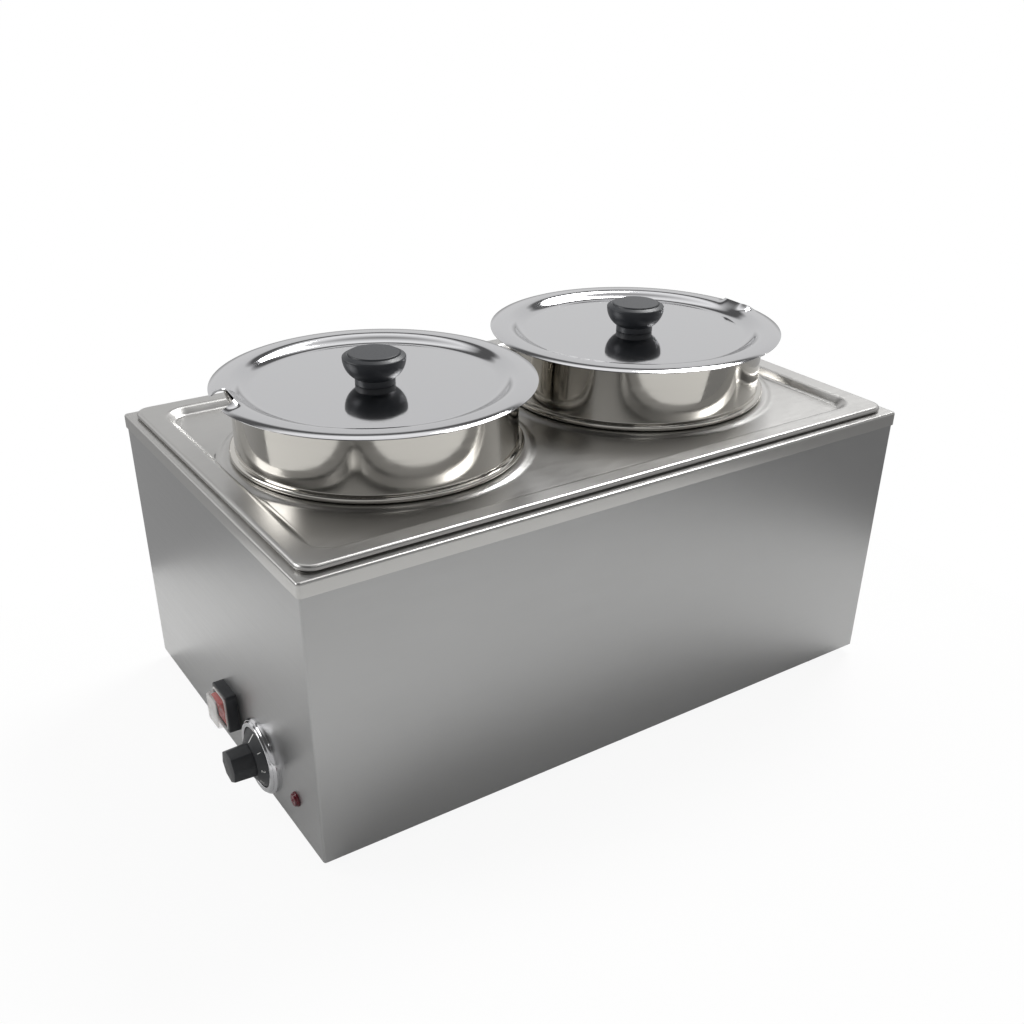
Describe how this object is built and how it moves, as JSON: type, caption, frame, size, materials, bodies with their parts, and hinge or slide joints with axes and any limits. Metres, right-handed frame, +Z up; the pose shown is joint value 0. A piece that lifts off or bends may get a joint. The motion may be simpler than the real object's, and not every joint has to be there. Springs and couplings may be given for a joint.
{
  "type": "food warmer",
  "caption": "Countertop food warmer: a stainless water bath with round lift-out pots under flat-topped lids with ladle notches, and a thermostat knob, rocker switch and lamp at one end.",
  "frame": {"origin": "on the table, under the middle of the whole outline, the dial included", "axes": "+X along the length, away from the control wall; +Y from the near long side to the far one; +Z up"},
  "size_m": [0.5724, 0.3426, 0.3119],
  "materials": {
    "satin_steel": "stainless sheet, satin, brushed along the length",
    "pan_steel": "drawn stainless sheet, bright cold-rolled",
    "polished_steel": "drawn stainless sheet, mirror polished",
    "plated_steel": "zinc-plated steel",
    "element_sheath": "oxidised nickel-alloy sheath",
    "phenolic": "black phenolic, moulded",
    "foot_rubber": "matte black",
    "black_plastic": "black moulded plastic",
    "rocker_red": "red moulded plastic",
    "boot_clear": "soft clear splash boot, slightly cloudy",
    "bezel_chrome": "chrome plated ring",
    "lens_red": "dark red lamp lens",
    "pale_plastic": "pale heat-resisting plastic",
    "bulb_copper": "copper tube"
  },
  "bodies": {
    "base": {"casing_front": "satin_steel", "casing_rear": "satin_steel", "casing_control_end": "satin_steel", "casing_plain_end": "satin_steel", "water_pan": "pan_steel", "base_plate": "plated_steel", "base_screws": "plated_steel", "foot_screws": "plated_steel", "thermostat_screws": "plated_steel", "indicator_nut": "plated_steel", "element_clamps": "plated_steel", "clamp_studs": "plated_steel", "clamp_nuts": "plated_steel", "earth_stud": "plated_steel", "bulb_clips": "plated_steel", "heating_element": "element_sheath", "foot_front_left": "foot_rubber", "foot_front_right": "foot_rubber", "foot_rear_left": "foot_rubber", "foot_rear_right": "foot_rubber", "switch_frame": "black_plastic", "switch_body": "black_plastic", "cord_bushing": "black_plastic", "switch_boot": "boot_clear", "dial_bezel": "bezel_chrome", "indicator_lens": "lens_red", "thermostat_body": "pale_plastic", "indicator_body": "pale_plastic", "terminal_block": "pale_plastic", "limit_cutout": "pale_plastic", "thermostat_bulb": "bulb_copper"},
    "adapter": {"adapter_plate": "pan_steel"},
    "left_pot": {"pot_left": "polished_steel"},
    "right_pot": {"pot_right": "polished_steel"},
    "left_lid": {"lid_left": "polished_steel", "lid_knob_left": "phenolic", "lid_washer_left": "plated_steel", "lid_screw_left": "plated_steel"},
    "right_lid": {"lid_right": "polished_steel", "lid_knob_right": "phenolic", "lid_washer_right": "plated_steel", "lid_screw_right": "plated_steel"},
    "dial": {"thermostat_knob": "black_plastic", "thermostat_shaft": "plated_steel"},
    "rocker": {"switch_rocker": "rocker_red"}
  },
  "joints": [
    {"name": "adapter_lift", "type": "slide", "parent": "base", "child": "adapter", "axis": [0, 0, 1], "range_m": [0, 0.16]},
    {"name": "left_pot_lift", "type": "slide", "parent": "adapter", "child": "left_pot", "axis": [0, 0, 1], "range_m": [0, 0.16]},
    {"name": "left_lid_lift", "type": "slide", "parent": "left_pot", "child": "left_lid", "axis": [0, 0, 1], "range_m": [0, 0.15]},
    {"name": "right_pot_lift", "type": "slide", "parent": "adapter", "child": "right_pot", "axis": [0, 0, 1], "range_m": [0, 0.16]},
    {"name": "right_lid_lift", "type": "slide", "parent": "right_pot", "child": "right_lid", "axis": [0, 0, 1], "range_m": [0, 0.15]},
    {"name": "dial_turn", "type": "hinge", "parent": "base", "child": "dial", "pos_m": [-0.25815, -0.068, 0.0395], "axis": [1, 0, 0], "range_deg": [0, 270]},
    {"name": "switch_rock", "type": "hinge", "parent": "base", "child": "rocker", "pos_m": [-0.26015, -0.0075, 0.0506], "axis": [0, 1, 0], "range_deg": [0, 22]}
  ]
}
